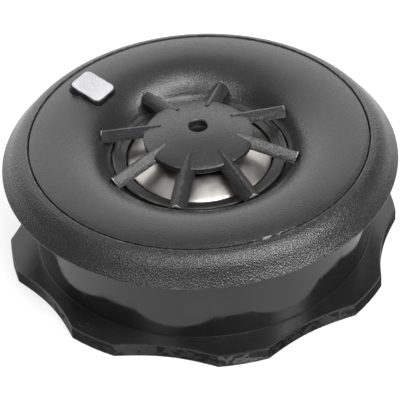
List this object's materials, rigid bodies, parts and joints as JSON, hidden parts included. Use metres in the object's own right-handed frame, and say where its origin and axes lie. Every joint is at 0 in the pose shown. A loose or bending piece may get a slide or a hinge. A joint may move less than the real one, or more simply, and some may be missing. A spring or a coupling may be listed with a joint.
{
  "type": "car tweeter",
  "caption": "Round flush-mount dome tweeter for a car panel, with a finned diffuser, threaded mounting cup and scalloped lock nut behind.",
  "frame": {"origin": "centre of the bounding box's base, on the speaker's axis at the lock nut's back face", "axes": "+Z along the axis towards the listener, +Y towards the badge, +X to the right seen from the front with the badge up"},
  "size_m": [0.0532, 0.0532, 0.0193],
  "materials": {
    "grained_black_plastic": "fine spark-grained black moulding",
    "gloss_black_plastic": "smooth gloss black moulding",
    "badge_grey": "pale grey print on a black badge",
    "titanium": "satin pressed metal foil",
    "black_rubber": "soft matt",
    "nylon": "smooth satin",
    "foam": "open-cell foam",
    "felt": "pressed felt",
    "amber_film": "polyimide film",
    "copper_wire": "enamelled copper",
    "zinc_steel": "zinc plated",
    "nickel_magnet": "nickel plated",
    "fibre_board": "pressed fibre",
    "brass": "stamped sheet"
  },
  "bodies": {
    "mount": {"mounting_cup": "grained_black_plastic"},
    "washer": {"slip_washer": "nylon"},
    "nut": {"lock_nut": "gloss_black_plastic"},
    "tweeter_unit": {"front_bezel": "grained_black_plastic", "diffuser": "grained_black_plastic", "badge": "badge_grey", "front_gasket": "foam", "faceplate": "grained_black_plastic", "faceplate_screw_1": "zinc_steel", "faceplate_screw_2": "zinc_steel", "faceplate_screw_3": "zinc_steel", "diaphragm_ring": "fibre_board", "pole_pad": "felt", "pole_plate": "zinc_steel", "magnet": "nickel_magnet", "yoke_cup": "zinc_steel", "absorber_ring": "foam", "rear_housing": "gloss_black_plastic", "terminal_board": "fibre_board", "terminal_positive": "brass", "terminal_negative": "brass", "lead_out_positive": "copper_wire", "lead_out_negative": "copper_wire"},
    "diaphragm": {"dome": "titanium", "surround": "black_rubber", "voice_coil_former": "amber_film", "voice_coil": "copper_wire"}
  },
  "joints": [
    {"name": "nut_travel", "type": "slide", "parent": "mount", "child": "washer", "axis": [0, 0, -1], "range_m": [0, 0.0061]},
    {"name": "nut_turn", "type": "hinge", "parent": "washer", "child": "nut", "pos_m": [0, 0, 0], "axis": [0, 0, -1], "range_deg": [0, 720]},
    {"name": "twist_lock", "type": "hinge", "parent": "mount", "child": "tweeter_unit", "pos_m": [0, 0, 0], "axis": [0, 0, 1], "range_deg": [0, 20]},
    {"name": "diaphragm_travel", "type": "slide", "parent": "tweeter_unit", "child": "diaphragm", "axis": [0, 0, 1], "range_m": [-0.0003, 0.0003], "stiffness_N_per_m": 2500, "deforming": ["surround"]}
  ],
  "couplings": [
    {"joint": "nut_travel", "follows": "nut_turn", "m_per_rad": 0.00047746}
  ]
}
